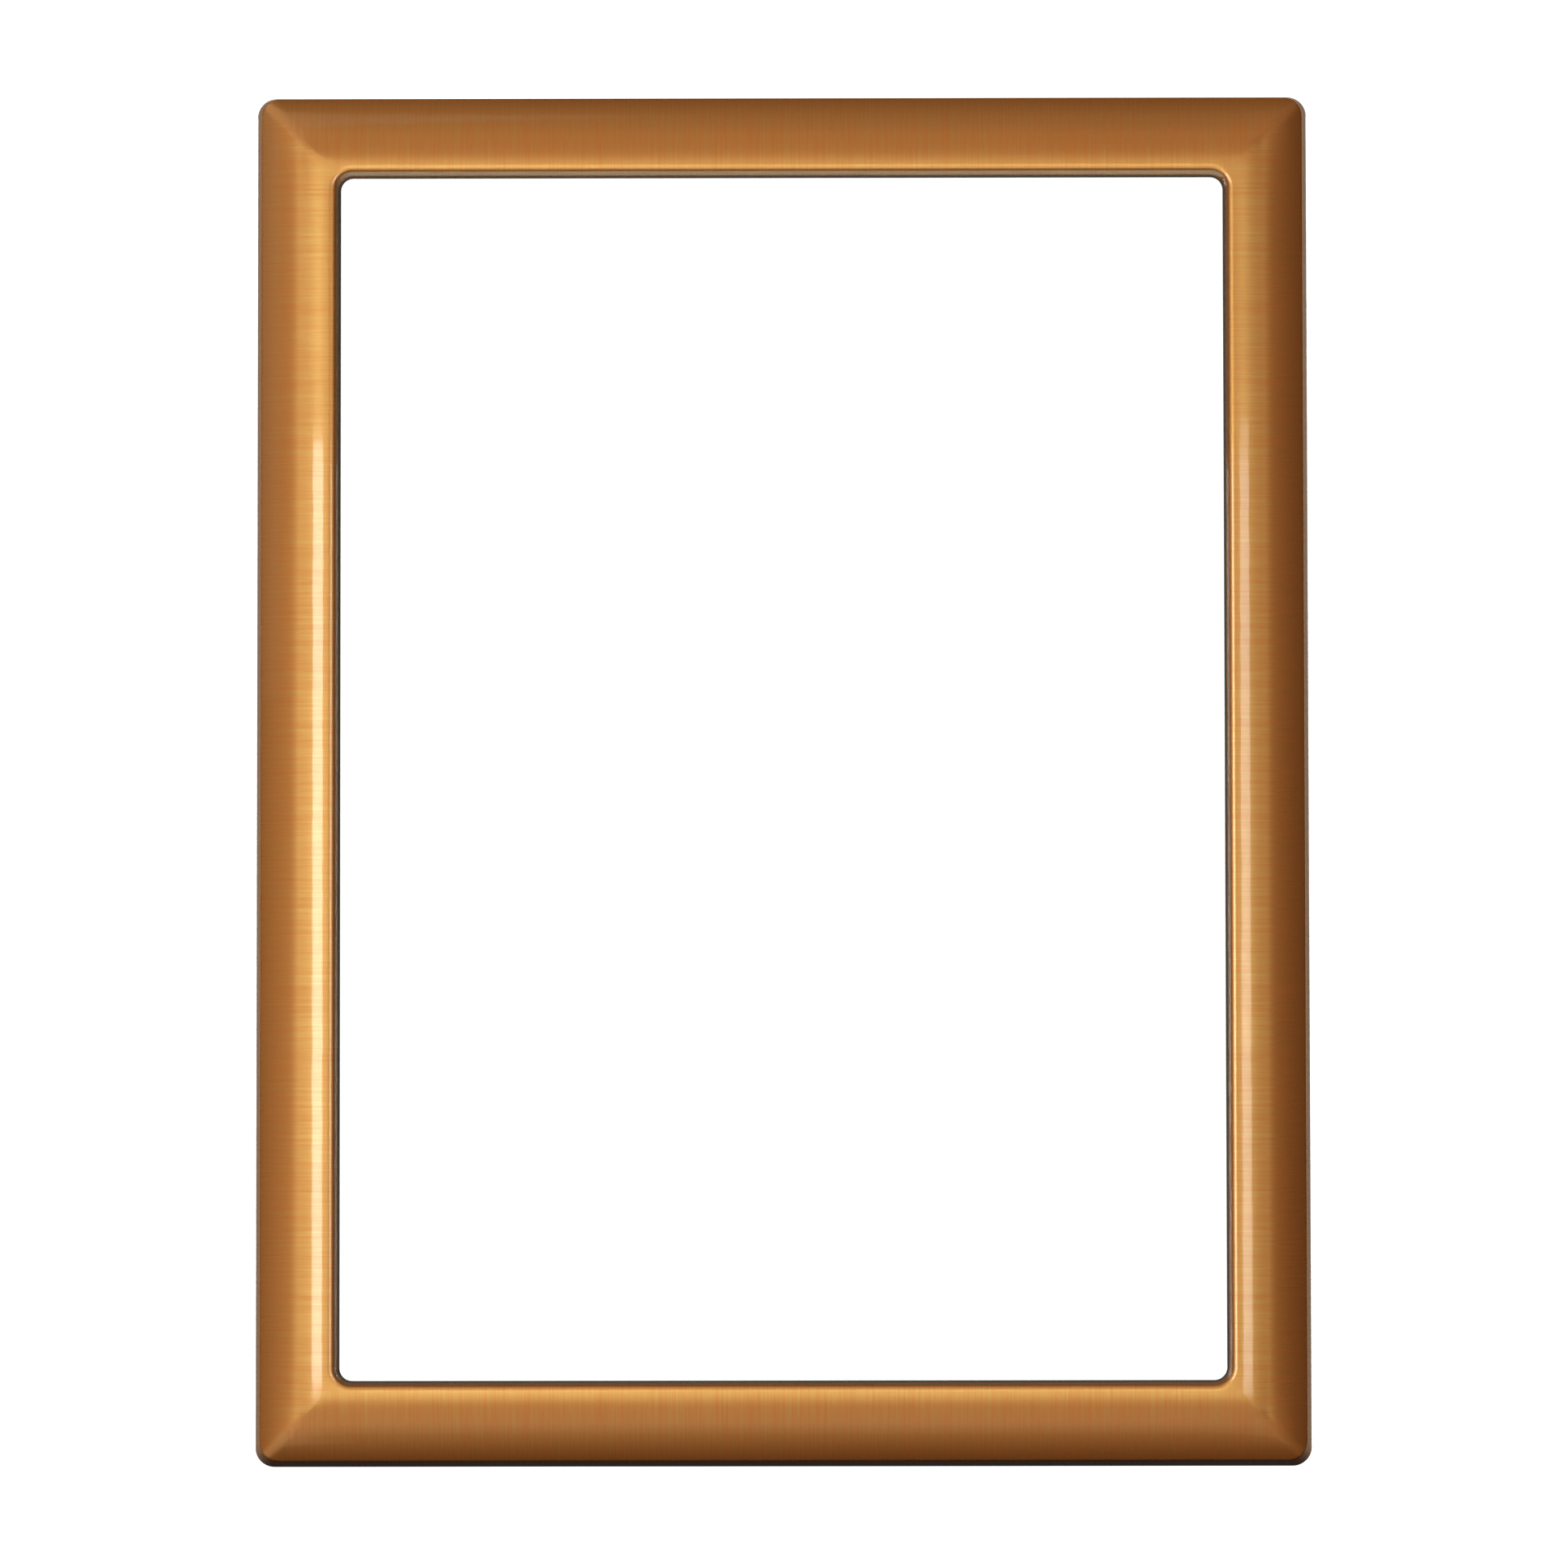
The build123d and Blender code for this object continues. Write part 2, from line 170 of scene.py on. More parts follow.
def brushed_bronze(finishes):
    """Bronze sheet, brushed straight across each rail and dipped in clear gloss lacquer.

    The tops of the brush lines are polished and flash pale gold along the rail, the grooves
    between them keep a dull copper-brown skin, and the lacquer adds a sharp white highlight
    whose edge wavers, because the film is not quite even.
    """
    material, tree = new_material("Brushed bronze, lacquered")
    uv = add_node(tree, "ShaderNodeUVMap", uv_map="rail").outputs[0]
    tangent = add_node(
        tree, "ShaderNodeTangent", direction_type="UV_MAP", uv_map="rail"
    ).outputs[0]
    # Brush lines are about 0.05 mm apart; they are drawn 0.35 mm apart so that they show.
    line_spacing, line_length = 0.35 * MM, 14 * MM
    lines = add_node(
        tree, "ShaderNodeMapping",
        {"Vector": uv, "Scale": (1 / line_spacing, 1 / line_length, 1)},
    ).outputs[0]
    brush = add_node(
        tree, "ShaderNodeTexNoise",
        {"Vector": lines, "Scale": 1.0, "Detail": 3.0, "Roughness": 0.65},
        noise_dimensions="2D",
    ).outputs["Fac"]
    # The sheet's skin varies in patches, and has a few pin-head spots in some of its cells.
    patch, spot_cell = 30 * MM, 11 * MM
    place = add_node(tree, "ShaderNodeTexCoord").outputs["Object"]
    cloud = add_node(
        tree, "ShaderNodeTexNoise", {"Vector": place, "Scale": 1 / patch, "Detail": 2.0}
    ).outputs["Fac"]
    spots = add_node(
        tree, "ShaderNodeTexVoronoi",
        {"Vector": place, "Scale": 1 / spot_cell, "Randomness": 1.0},
    )
    near = add_node(
        tree, "ShaderNodeMapRange",
        {"Value": spots.outputs["Distance"], "From Min": 0.02, "From Max": 0.045},
    ).outputs[0]
    rare = add_node(
        tree, "ShaderNodeMath", {0: spots.outputs["Color"], 1: 0.78}, operation="LESS_THAN"
    ).outputs[0]
    clean = add_node(tree, "ShaderNodeMath", {0: near, 1: rare}, operation="MAXIMUM").outputs[0]
    groove = add_node(
        tree, "ShaderNodeMix",
        {"Factor": clean, 6: (*finishes.spot, 1), 7: (*finishes.bronze_groove, 1)},
        data_type="RGBA",
    ).outputs[2]
    line_depth, ripple_width, ripple_height = 0.02 * MM, 7 * MM, 0.06 * MM
    relief = add_node(
        tree, "ShaderNodeBump", {"Height": brush, "Strength": 0.15, "Distance": line_depth}
    ).outputs[0]
    ripple = add_node(
        tree, "ShaderNodeTexNoise", {"Vector": place, "Scale": 1 / ripple_width, "Detail": 1.0}
    ).outputs["Fac"]
    film = add_node(
        tree, "ShaderNodeBump", {"Height": ripple, "Strength": 0.5, "Distance": ripple_height}
    ).outputs[0]
    lacquer = {
        "Metallic": 1.0, "Normal": relief, "Tangent": tangent,
        "Coat Weight": 0.5, "Coat Roughness": 0.06, "Coat Normal": film,
    }
    dull = add_node(
        tree, "ShaderNodeBsdfPrincipled",
        {"Base Color": groove, "Roughness": 0.74, "Anisotropic": 0.25, **lacquer},
    ).outputs[0]
    gloss = add_node(
        tree, "ShaderNodeMapRange",
        {"Value": cloud, "From Min": 0.3, "From Max": 0.7, "To Min": 0.4, "To Max": 0.44},
    ).outputs[0]
    polished = add_node(
        tree, "ShaderNodeBsdfPrincipled",
        {
            "Base Color": (*finishes.bronze_polish, 1), "Roughness": gloss,
            "Anisotropic": 0.5, **lacquer,
        },
    ).outputs[0]
    share = add_node(
        tree, "ShaderNodeMapRange",
        {"Value": brush, "From Min": 0.2, "From Max": 0.8, "To Min": 0.12, "To Max": 0.44},
    ).outputs[0]
    both = add_node(tree, "ShaderNodeMixShader", {0: share, 1: dull, 2: polished}).outputs[0]
    add_node(tree, "ShaderNodeOutputMaterial", {"Surface": both})
    return material


def mottled(name, hex_or_rgb, sockets, scale=1.0 * MM, spread=0.12, bump=0.02 * MM):
    """A finish of one colour with fine uneven patches and a slight relief.

    The sockets are the shader's own values; scale is the width of a patch, spread is how
    far the colour varies and bump is how high the relief stands.
    """
    material, tree = new_material(name)
    rgb = linear(hex_or_rgb) if isinstance(hex_or_rgb, str) else list(hex_or_rgb)
    place = add_node(tree, "ShaderNodeTexCoord").outputs["Object"]
    patch = add_node(
        tree, "ShaderNodeTexNoise", {"Vector": place, "Scale": 1 / scale, "Detail": 3.0}
    ).outputs["Fac"]
    dark = (*[v * (1 - spread) for v in rgb], 1)
    light = (*[min(v * (1 + spread), 1) for v in rgb], 1)
    tone = add_node(
        tree, "ShaderNodeMix", {"Factor": patch, 6: dark, 7: light}, data_type="RGBA"
    ).outputs[2]
    relief = add_node(
        tree, "ShaderNodeBump", {"Height": patch, "Strength": 0.4, "Distance": bump}
    ).outputs[0]
    shader = add_node(
        tree, "ShaderNodeBsdfPrincipled", {"Base Color": tone, "Normal": relief, **sockets}
    )
    add_node(tree, "ShaderNodeOutputMaterial", {"Surface": shader.outputs[0]})
    return material


def grained_wood(name, light, dark, stretch):
    """Planed limewood: even and pale, with faint growth lines along the rail."""
    material, tree = new_material(name)
    place = add_node(tree, "ShaderNodeTexCoord").outputs["Object"]
    along = add_node(tree, "ShaderNodeMapping", {"Vector": place, "Scale": stretch})
    grain = add_node(
        tree, "ShaderNodeTexNoise",
        {
            "Vector": along.outputs[0], "Scale": 1.0, "Detail": 6.0, "Roughness": 0.6,
            "Distortion": 0.4,
        },
    ).outputs["Fac"]
    shade = add_node(
        tree, "ShaderNodeMapRange",
        {"Value": grain, "From Min": 0.35, "From Max": 0.65, "To Min": 0.0, "To Max": 1.0},
    ).outputs[0]
    tone = add_node(
        tree, "ShaderNodeMix", {"Factor": shade, 6: (*dark, 1), 7: (*light, 1)}, data_type="RGBA"
    ).outputs[2]
    relief = add_node(
        tree, "ShaderNodeBump", {"Height": grain, "Strength": 0.3, "Distance": 0.05 * MM}
    ).outputs[0]
    shader = add_node(
        tree, "ShaderNodeBsdfPrincipled",
        {"Base Color": tone, "Roughness": 0.62, "Normal": relief},
    )
    add_node(tree, "ShaderNodeOutputMaterial", {"Surface": shader.outputs[0]})
    return material


def float_glass():
    """Clear float glass: only its reflections and its faintly green edges show."""
    material, tree = new_material("Float glass")
    shader = add_node(
        tree, "ShaderNodeBsdfPrincipled",
        {
            "Base Color": opaque("#fbfffd"), "Roughness": 0.0, "IOR": 1.5,
            "Transmission Weight": 1.0,
        },
    )
    add_node(tree, "ShaderNodeOutputMaterial", {"Surface": shader.outputs[0]})
    return material


def dress(names, material):
    """Gives CAD nodes their finish."""
    for name in names:
        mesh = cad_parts[name].data
        mesh.materials.clear()
        mesh.materials.append(material)


def nodes_called(start):
    """Names of the CAD nodes that start with a word."""
    return [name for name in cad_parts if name.startswith(start)]


# --- Front shell ----------------------------------------------------------------------------


class FrontShell:
    """The section of the pressed shell and the loops that follow it round the frame."""

    CORNER_LOSS = 0.55  # corner radius lost for each unit of inset across the face
    BLEND_BEFORE, BLEND_LENGTH = 3.0 * MM, 3.5 * MM  # loops turn to the opening's corner here

    def __init__(self, sizes):
        self.s = sizes
        self.skirt = DEPTH - sizes.rise
        run = sizes.crest - sizes.flare
        self.arch = (run**2 + sizes.rise**2) / (2 * sizes.rise)

    def arch_height(self, inset):
        """Height of one arched face at an inset."""
        away = max(self.s.crest - inset, 0.0)
        return DEPTH - self.arch + sqrt(self.arch**2 - away**2)

    def face_height(self, x, z):
        """Height of the cushion at a place, with soft hips between the arched faces."""
        side = self.arch_height(WIDTH / 2 - abs(x))
        end = self.arch_height(HEIGHT / 2 - abs(z))
        soft = max(self.s.hip - abs(side - end), 0.0)
        fade = min(1.0, (DEPTH - min(side, end)) / (0.5 * self.s.hip))
        return min(side, end) - fade * soft**2 / (4 * self.s.hip)

    def corner(self, inset):
        """Corner radius of the loop at an inset."""
        s = self.s
        opening = s.sight_radius + s.rail - inset
        blend = max(0.0, (inset - s.crest + self.BLEND_BEFORE) / self.BLEND_LENGTH)
        if blend >= 1.0:
            return opening
        lost = self.CORNER_LOSS * max(inset - s.flare, 0.0)
        outer = max(s.outline_radius - lost, s.hip_radius)
        return outer + (opening - outer) * blend**3

    def section(self):
        """Points of the closed section as inset, height, rounding and part of the shell."""
        s = self.s
        top = DEPTH
        foot = s.rail - s.setback
        seat = top - s.lip
        skirt_steps, face_steps = 6, 30
        points = [
            (s.hem, 0.0, 0.15 * MM, "skirt"),
            (0.0, 0.0, 0.25 * MM, "skirt"),
        ]
        for k in range(1, skirt_steps):
            share = k / skirt_steps
            points.append((s.flare * share, self.skirt * share, 0.0, "skirt"))
        points.append((s.flare, self.skirt, 1.0 * MM, "face"))
        for k in range(1, face_steps + 1):
            inset = s.flare + (s.crest - s.flare) * k / face_steps
            points.append((inset, self.arch_height(inset), 0.0, "face"))
        # The crest rolls over in two arcs that run into each other, given in degrees.
        over, fall, bent = s.crest + s.land, 0.0, 0.0
        for radius, turns in ((s.brow, (0, 4, 8, 12, 16, 20)), (s.edge, (35, 50, 65, 80))):
            for degrees in turns:
                bend = radians(degrees)
                over += radius * (sin(bend) - sin(bent))
                fall += radius * (cos(bent) - cos(bend))
                bent = bend
                points.append((over, top - fall, 0.0, "lip"))
        # The inner wall drops to the gasket, and the section returns inside the sheet.
        points += [
            ((over + foot) / 2, (top - fall + seat) / 2, 0.0, "lip"),
            (foot, seat, 0.1 * MM, "lip"),
            (foot - s.sheet, seat, 0.1 * MM, "lip"),
            (foot - s.sheet - 0.6 * MM, top - 1.7 * MM, 0.0, "lip"),
            (s.crest + 0.1 * MM, top - s.sheet, 0.0, "face"),
        ]
        for share in (0.75, 0.5, 0.25):
            inset = s.flare + (s.crest - s.flare) * share
            points.append((inset, self.arch_height(inset) - 1.1 * s.sheet, 0.0, "face"))
        points += [
            (s.flare + 1.15 * s.sheet, self.skirt - 0.6 * s.sheet, 0.0, "face"),
            (1.2 * s.sheet, s.sheet, 0.0, "hidden"),
            (s.hem, s.sheet, 0.15 * MM, "hidden"),
        ]
        return points

    def softened(self):
        """The same section with its corners rounded."""
        points = self.section()
        smooth = []
        for k, (inset, height, radius, part) in enumerate(points):
            here = Vector((inset, height))
            before = Vector(points[k - 1][:2]) - here
            after = Vector(points[(k + 1) % len(points)][:2]) - here
            reach = 0.0
            if radius:
                turn = pi - before.angle(after)
                room = 0.45 * min(before.length, after.length)
                reach = min(radius * sin(turn / 2) / cos(turn / 2), room)
            if not reach:
                smooth.append((here.x, here.y, part))
                continue
            start = here + before.normalized() * reach
            end = here + after.normalized() * reach
            for t in (0.0, 0.25, 0.5, 0.75, 1.0):
                spot = start * (1 - t) ** 2 + here * 2 * t * (1 - t) + end * t**2
                smooth.append((spot.x, spot.y, part))
        return smooth

    def stations(self, arc=12, long_side=36, short_side=28):
        """Places round the loop: fractions of the straight part, and the angle there."""
        spots = []
        for quarter, (x, z) in enumerate(((1, 1), (-1, 1), (-1, -1), (1, -1))):
            start = quarter * pi / 2
            spots += [(x, z, start + pi / 2 * k / arc) for k in range(arc + 1)]
            angle = start + pi / 2
            if quarter % 2 == 0:
                spots += [(x * (1 - 2 * k / short_side), z, angle) for k in range(1, short_side)]
            else:
                spots += [(x, z * (1 - 2 * k / long_side), angle) for k in range(1, long_side)]
        return spots

    def place(self, station, inset, height, part):
        """Where the loop at a section point passes a station."""
        fraction_x, fraction_z, angle = station

        def flat(depth_in, radius):
            reach = depth_in + radius
            return (
                fraction_x * (WIDTH / 2 - reach) + radius * cos(angle),
                fraction_z * (HEIGHT / 2 - reach) + radius * sin(angle),
            )

        x, z = flat(inset, self.corner(inset))
        if part == "face":
            height += self.face_height(x, z) - self.arch_height(inset)
        if part == "skirt":
            brow = self.face_height(*flat(self.s.flare, self.corner(self.s.flare)))
            height *= brow / self.skirt
            if inset < self.s.flare:
                x, z = flat(inset * brow / self.skirt, self.corner(inset))
        return Vector((CENTRE.x + x, BACK - height, CENTRE.z + z))

    def mesh(self, name):
        """Draws one loop along the outline, then extrudes it round the whole section."""
        stations = self.stations()
        section = self.softened()
        shell = bmesh.new()
        number = shell.verts.layers.int.new("station")
        across = shell.verts.layers.float.new("across")
        bmesh.ops.create_circle(shell, segments=len(stations), radius=1.0)
        shell.verts.ensure_lookup_table()
        for k, vertex in enumerate(shell.verts):
            vertex[number] = k
        loop = list(shell.edges)
        travelled = 0.0
        last = Vector(section[0][:2])
        for k, (inset, height, part) in enumerate(section + section[:1]):
            if k:
                grown = bmesh.ops.extrude_edge_only(shell, edges=loop)["geom"]
                loop = [item for item in grown if isinstance(item, bmesh.types.BMEdge)]
                loop = [edge for edge in loop if len(edge.link_faces) == 1]
                moved = {vertex for edge in loop for vertex in edge.verts}
            else:
                moved = set(shell.verts)
            travelled += (Vector((inset, height)) - last).length
            last = Vector((inset, height))
            for vertex in moved:
                vertex.co = self.place(stations[vertex[number]], inset, height, part)
                vertex[across] = travelled
        uv = shell.loops.layers.uv.new("rail")
        for face in shell.faces:
            middle = face.calc_center_median() - CENTRE
            side = WIDTH / 2 - abs(middle.x) < HEIGHT / 2 - abs(middle.z)
            for corner in face.loops:
                along = corner.vert.co.z if side else corner.vert.co.x
                corner[uv].uv = (along, corner.vert[across])
        bmesh.ops.remove_doubles(shell, verts=shell.verts, dist=1e-6)
        bmesh.ops.recalc_face_normals(shell, faces=shell.faces)
        mesh = bpy.data.meshes.new(name)
        shell.to_mesh(mesh)
        shell.free()
        mesh.shade_smooth()
        mesh.set_sharp_from_angle(angle=radians(50))
        return mesh


class FLOATFRAME_OT_front_shell(bpy.types.Operator):
    """Replace the front shell with a finely rounded one in brushed, lacquered bronze"""

    bl_idname = "floatframe.front_shell"
    bl_label = "Front shell"

    def execute(self, context):
        mesh = FrontShell(context.scene.frame_shell).mesh("pressed_shell")
        mesh.materials.append(brushed_bronze(context.scene.frame_finishes))
        shell = bpy.data.objects.new("pressed_shell", mesh)
        context.collection.objects.link(shell)
        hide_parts("front_shell")
        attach(shell, "frame")
        return {"FINISHED"}


class FLOATFRAME_OT_core(bpy.types.Operator):
    """Finish the wooden core and its V-nails"""

    bl_idname = "floatframe.core"
    bl_label = "Core"

    def execute(self, context):
        finishes = context.scene.frame_finishes
        light, dark = finishes.limewood, finishes.limewood_dark
        # Growth lines are about 0.8 mm apart across the rail and run on for 60 mm.
        across, along = 1 / (0.8 * MM), 1 / (60 * MM)
        lying = grained_wood("Limewood, grain level", light, dark, (along, across, across))
        standing = grained_wood("Limewood, grain upright", light, dark, (across, across, along))
        dress(["core_top", "core_bottom"], lying)
        dress(["core_left", "core_right"], standing)
        # Spring steel strip, rolled: a bright grey skin with a soft sheen.
        steel = mottled("Rolled spring steel", "#9a9da2", {"Metallic": 1.0, "Roughness": 0.35})
        dress(["corner_v_nails"], steel)
        return {"FINISHED"}


class FLOATFRAME_OT_glazing(bpy.types.Operator):
    """Finish the panes, the gaskets and the spacer between the panes"""

    bl_idname = "floatframe.glazing"
    bl_label = "Glazing"

    def execute(self, context):
        finishes = context.scene.frame_finishes
        dress(["front_pane", "rear_pane"], float_glass())
        # Closed-cell foam tape: matte, with pores about 0.3 mm across.
        foam = mottled(
            "Closed-cell foam", finishes.foam, {"Roughness": 0.9},
            scale=0.3 * MM, spread=0.3, bump=0.06 * MM,
        )
        dress(["front_gasket", "rear_gasket"], foam)
        # Calendered card: flat white with a soft tooth.
        card = mottled(
            "White card", "#deddd6", {"Roughness": 0.8}, scale=0.6 * MM, spread=0.04
        )
        dress(["pane_spacer"], card)
        return {"FINISHED"}


class FLOATFRAME_OT_back_frame(bpy.types.Operator):
    """Finish the back frame in brown fibreboard"""

    bl_idname = "floatframe.back_frame"
    bl_label = "Back frame"

    def execute(self, context):
        # Hardboard: hot-pressed fibres, brown flecks about 0.5 mm long, a dull sheen.
        board = mottled(
            "Hardboard", context.scene.frame_finishes.fibreboard, {"Roughness": 0.6},
            scale=0.5 * MM, spread=0.35, bump=0.03 * MM,
        )
        dress(["back_frame"], board)
        return {"FINISHED"}


class FLOATFRAME_OT_turn_buttons(bpy.types.Operator):
    """Finish the turn buttons with their washers and screws"""

    bl_idname = "floatframe.turn_buttons"
    bl_label = "Turn buttons"

    def execute(self, context):
        finishes = context.scene.frame_finishes
        # Steel blanks with a black bake coat: dark, half dull, a little uneven.
        black = mottled(
            "Black coated steel", finishes.button,
            {"Roughness": 0.42, "Coat Weight": 0.3, "Coat Roughness": 0.3},
            scale=0.8 * MM, spread=0.3,
        )
        dress(nodes_called("turn_button_"), black)
        # Washers of natural nylon, punched: milky and smooth.
        nylon = mottled(
            "Natural nylon", "#dcdacd", {"Roughness": 0.4, "Subsurface Weight": 0.15},
            spread=0.03,
        )
        dress(["button_washers"], nylon)
        # Zinc plating: cool bright grey with a faintly cloudy passivated skin.
        zinc = mottled(
            "Zinc-plated steel", finishes.zinc, {"Metallic": 1.0, "Roughness": 0.3},
            scale=1.2 * MM, spread=0.1,
        )
        dress(["button_screws", "hanger_screws"], zinc)
        return {"FINISHED"}


class FLOATFRAME_OT_hangers(bpy.types.Operator):
    """Finish the sawtooth hangers in brass-plated steel"""

    bl_idname = "floatframe.hangers"
    bl_label = "Hangers"

    def execute(self, context):
        # Thin brass plating on stamped strip: yellow, bright, with stamping haze.
        brass = mottled(
            "Brass-plated steel", context.scene.frame_finishes.brass,
            {"Metallic": 1.0, "Roughness": 0.3}, scale=1.5 * MM,
        )
        dress(nodes_called("hanger_top") + nodes_called("hanger_right"), brass)
        return {"FINISHED"}


class FLOATFRAME_OT_bumpers(bpy.types.Operator):
    """Finish the wall bumpers in soft clear rubber"""

    bl_idname = "floatframe.bumpers"
    bl_label = "Bumpers"

    def execute(self, context):
        # Moulded polyurethane: greyish, cloudy, with a soft gloss.
        rubber = mottled(
            "Polyurethane rubber", "#c4c4bb",
            {
                "Roughness": 0.3, "Subsurface Weight": 0.3,
                "Coat Weight": 0.4, "Coat Roughness": 0.15,
            },
            scale=2.0 * MM, spread=0.05,
        )
        dress(nodes_called("bumper_"), rubber)
        return {"FINISHED"}


# --- Stage ------------------------------------------------------------------------------------


def soft_light(context, name, place, width, height, power):
    """A rectangular soft light, placed from the frame's middle and turned to it (metres, watts)."""
    lamp = bpy.data.lights.new(name, "AREA")
    lamp.shape = "RECTANGLE"
    lamp.size = width
    lamp.size_y = height
    lamp.energy = power
    light = bpy.data.objects.new(name, lamp)
    context.collection.objects.link(light)
    light.location = Vector((0, 0, CENTRE.z)) + Vector(place)
    light.rotation_euler = (-Vector(place)).to_track_quat("-Z", "Y").to_euler()
    light.visible_camera = False
    light.visible_transmission = False
    return light


class FLOATFRAME_OT_stage(bpy.types.Operator):
    """Set up the camera, the pale floor and the soft lights"""

    bl_idname = "floatframe.stage"
    bl_label = "Stage"

    def execute(self, context):
        scene = context.scene
        sizes = scene.frame_stage
        scene.view_settings.view_transform = "Standard"

        floor_mesh = bpy.data.meshes.new("floor")
        plane = bmesh.new()
        bmesh.ops.create_grid(plane, x_segments=1, y_segments=1, size=sizes.floor)
        bmesh.ops.translate(plane, verts=plane.verts, vec=(0, 0, SHELL_LOW.z - sizes.drop))
        plane.to_mesh(floor_mesh)
        plane.free()
        floor = bpy.data.objects.new("floor", floor_mesh)
        context.collection.objects.link(floor)
        # Matt floor paint: pale and even, and dull enough to mirror nothing.
        paint = mottled(
            "Pale floor paint", "#e9e8e4", {"Roughness": 0.7}, scale=50 * MM, spread=0.01
        )
        floor_mesh.materials.append(paint)
        floor.visible_glossy = False

        data = bpy.data.cameras.new("camera")
        data.lens = sizes.lens
        data.sensor_width = 36.0
        camera = bpy.data.objects.new("camera", data)
        context.collection.objects.link(camera)
        seen = (
            Matrix.Rotation(sizes.roll, 3, "Z")
            @ Matrix.Rotation(sizes.turn, 3, "Y")
            @ Matrix.Rotation(sizes.tilt, 3, "X")
        )
        upright = Matrix.Rotation(pi / 2, 3, "X")
        facing = upright @ seen.transposed()
        middle = Vector((CENTRE.x, 0, CENTRE.z))
        # The camera's axis passes a hair beside the middle of the frame.
        aside, below = 0.24 * MM, -0.72 * MM
        spot = facing @ Vector((aside, below, sizes.distance)) + middle
        camera.matrix_world = Matrix.Translation(spot) @ facing.to_4x4()
        scene.camera = camera

        world = bpy.data.worlds.new("studio")
        scene.world = world
        world.use_nodes = True
        tree = world.node_tree
        tree.nodes.clear()
        # The camera sees white straight on and through the panes; mirrored rays see the room.
        ray = add_node(tree, "ShaderNodeLightPath").outputs
        straight = add_node(
            tree, "ShaderNodeMath", {0: ray["Glossy Depth"], 1: 0.5}, operation="LESS_THAN"
        ).outputs[0]
        glazed = add_node(
            tree, "ShaderNodeMath", {0: ray["Is Transmission Ray"], 1: straight},
            operation="MULTIPLY",
        ).outputs[0]
        seen_through = add_node(
            tree, "ShaderNodeMath", {0: ray["Is Camera Ray"], 1: glazed}, operation="MAXIMUM"
        ).outputs[0]
        # The room mirrors as dim in front, as a pale backdrop behind and as dark below.
        way = add_node(tree, "ShaderNodeTexCoord").outputs["Generated"]
        axes = add_node(tree, "ShaderNodeSeparateXYZ", {"Vector": way})
        backdrop = add_node(
            tree, "ShaderNodeMapRange",
            {
                "Value": axes.outputs["Y"], "From Min": 0.2, "From Max": 0.7,
                "To Min": 0.03, "To Max": 0.14,
            },
        ).outputs[0]
        above = add_node(
            tree, "ShaderNodeMapRange",
            {
                "Value": axes.outputs["Z"], "From Min": -0.3, "From Max": 0.0,
                "To Min": 0.1, "To Max": 1.0,
            },
        ).outputs[0]
        room = add_node(
            tree, "ShaderNodeMath", {0: backdrop, 1: above}, operation="MULTIPLY"
        ).outputs[0]
        plain_white = (1, 1, 1, 1)
        dim = add_node(
            tree, "ShaderNodeBackground", {"Color": plain_white, "Strength": room}
        ).outputs[0]
        white = add_node(
            tree, "ShaderNodeBackground", {"Color": plain_white, "Strength": 1.3}
        ).outputs[0]
        both = add_node(
            tree, "ShaderNodeMixShader", {0: seen_through, 1: dim, 2: white}
        ).outputs[0]
        add_node(tree, "ShaderNodeOutputWorld", {"Surface": both})

        # Two panels beside the lens draw the white streaks; wide ones fill from the corners.
        soft_light(context, "front left", (-0.245, -0.8, 0.004), 0.165, 0.265, 2.0)
        soft_light(context, "front right", (0.213, -0.8, 0.004), 0.155, 0.265, 1.15)
        soft_light(context, "upper left", (-0.87, -1.12, 1.1), 1.4, 1.4, 3.9)
        soft_light(context, "far left", (-1.5, -0.67, 0.73), 1.1, 1.3, 1.6)
        soft_light(context, "upper right", (0.87, -1.12, 1.1), 1.4, 1.4, 0.6)
        soft_light(context, "lower left", (-0.93, -1.19, -0.98), 1.4, 1.2, 2.9)
        soft_light(context, "low", (0, -1.56, -0.9), 1.2, 0.6, 0.95)
        soft_light(context, "behind", (0, 2.0, 0), 0.8, 0.8, 6)
        soft_light(context, "high behind", (0, 1.5, 1.5), 2.0, 1.0, 8)
        soft_light(context, "behind left", (-1.3, 1.3, 0), 1.0, 1.6, 4)
        soft_light(context, "behind right", (1.3, 1.3, 0), 1.0, 1.6, 4)
        # The ceiling lights the floor and the wood, but no metal mirrors it.
        soft_light(context, "ceiling", (0, 0, 1.6), 2.0, 2.0, 30).visible_glossy = False
        return {"FINISHED"}


PIECES = (
    FLOATFRAME_OT_front_shell,
    FLOATFRAME_OT_core,
    FLOATFRAME_OT_glazing,
    FLOATFRAME_OT_back_frame,
    FLOATFRAME_OT_turn_buttons,
    FLOATFRAME_OT_hangers,
    FLOATFRAME_OT_bumpers,
    FLOATFRAME_OT_stage,
)


class FLOATFRAME_PT_panel(bpy.types.Panel):
    """Lists the pieces and the stage"""

    bl_idname = "FLOATFRAME_PT_panel"
    bl_label = "Floating frame"
    bl_space_type = "VIEW_3D"
    bl_region_type = "UI"
    bl_category = "Floating frame"

    def draw(self, context):
        for piece in PIECES:
            self.layout.operator(piece.bl_idname)


CLASSES = (ShellSizes, Finishes, StageSizes, *PIECES, FLOATFRAME_PT_panel)


def register():
    for item in CLASSES:
        bpy.utils.register_class(item)
    bpy.types.Scene.frame_shell = bpy.props.PointerProperty(type=ShellSizes)
    bpy.types.Scene.frame_finishes = bpy.props.PointerProperty(type=Finishes)
    bpy.types.Scene.frame_stage = bpy.props.PointerProperty(type=StageSizes)


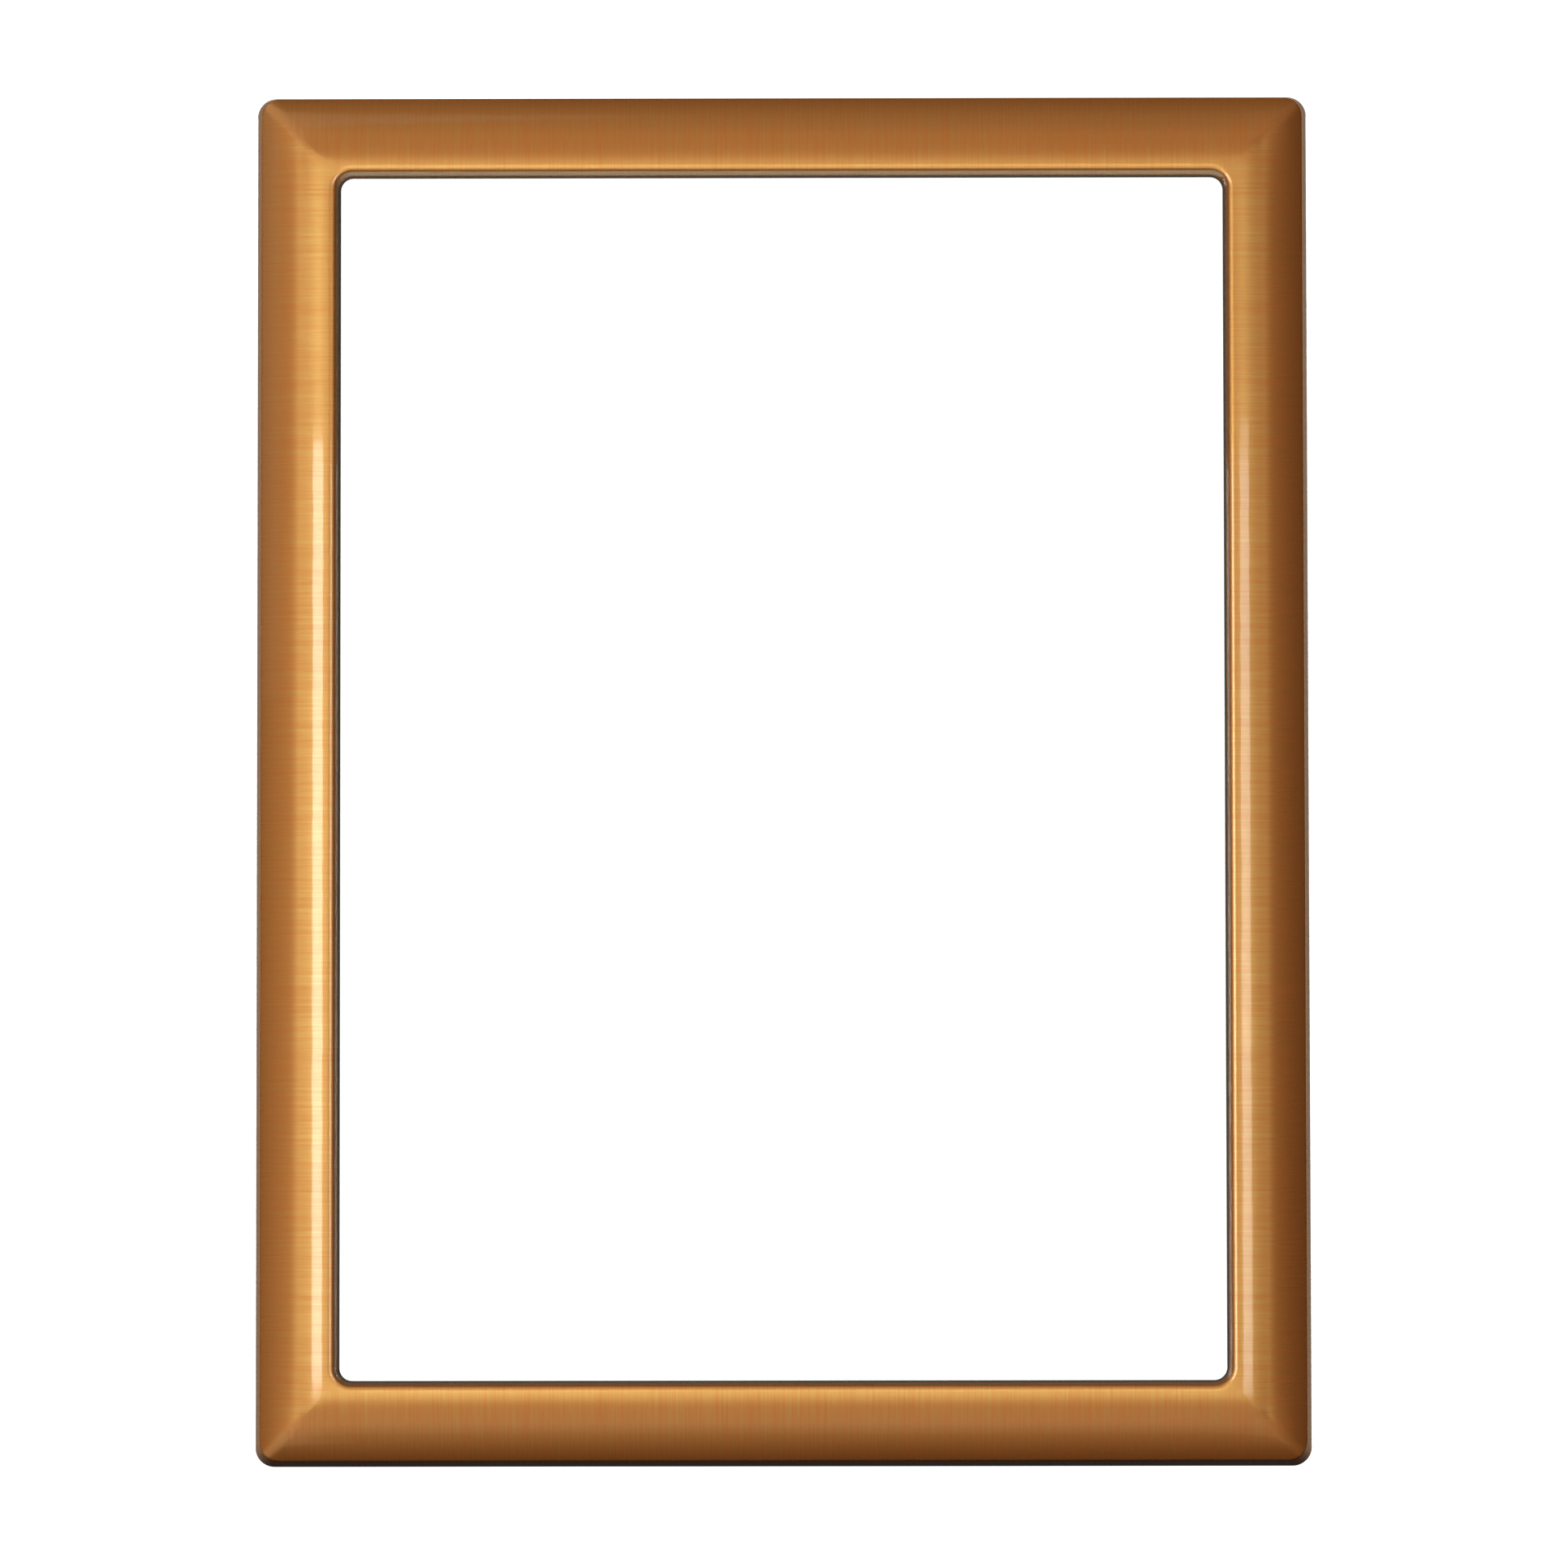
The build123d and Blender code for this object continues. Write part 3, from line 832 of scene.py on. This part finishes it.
def unregister():
    del bpy.types.Scene.frame_stage
    del bpy.types.Scene.frame_finishes
    del bpy.types.Scene.frame_shell
    for item in reversed(CLASSES):
        bpy.utils.unregister_class(item)


def main():
    register()
    for piece in PIECES:
        getattr(bpy.ops.floatframe, piece.bl_idname.split(".")[1])()


if __name__ == "__main__":
    main()
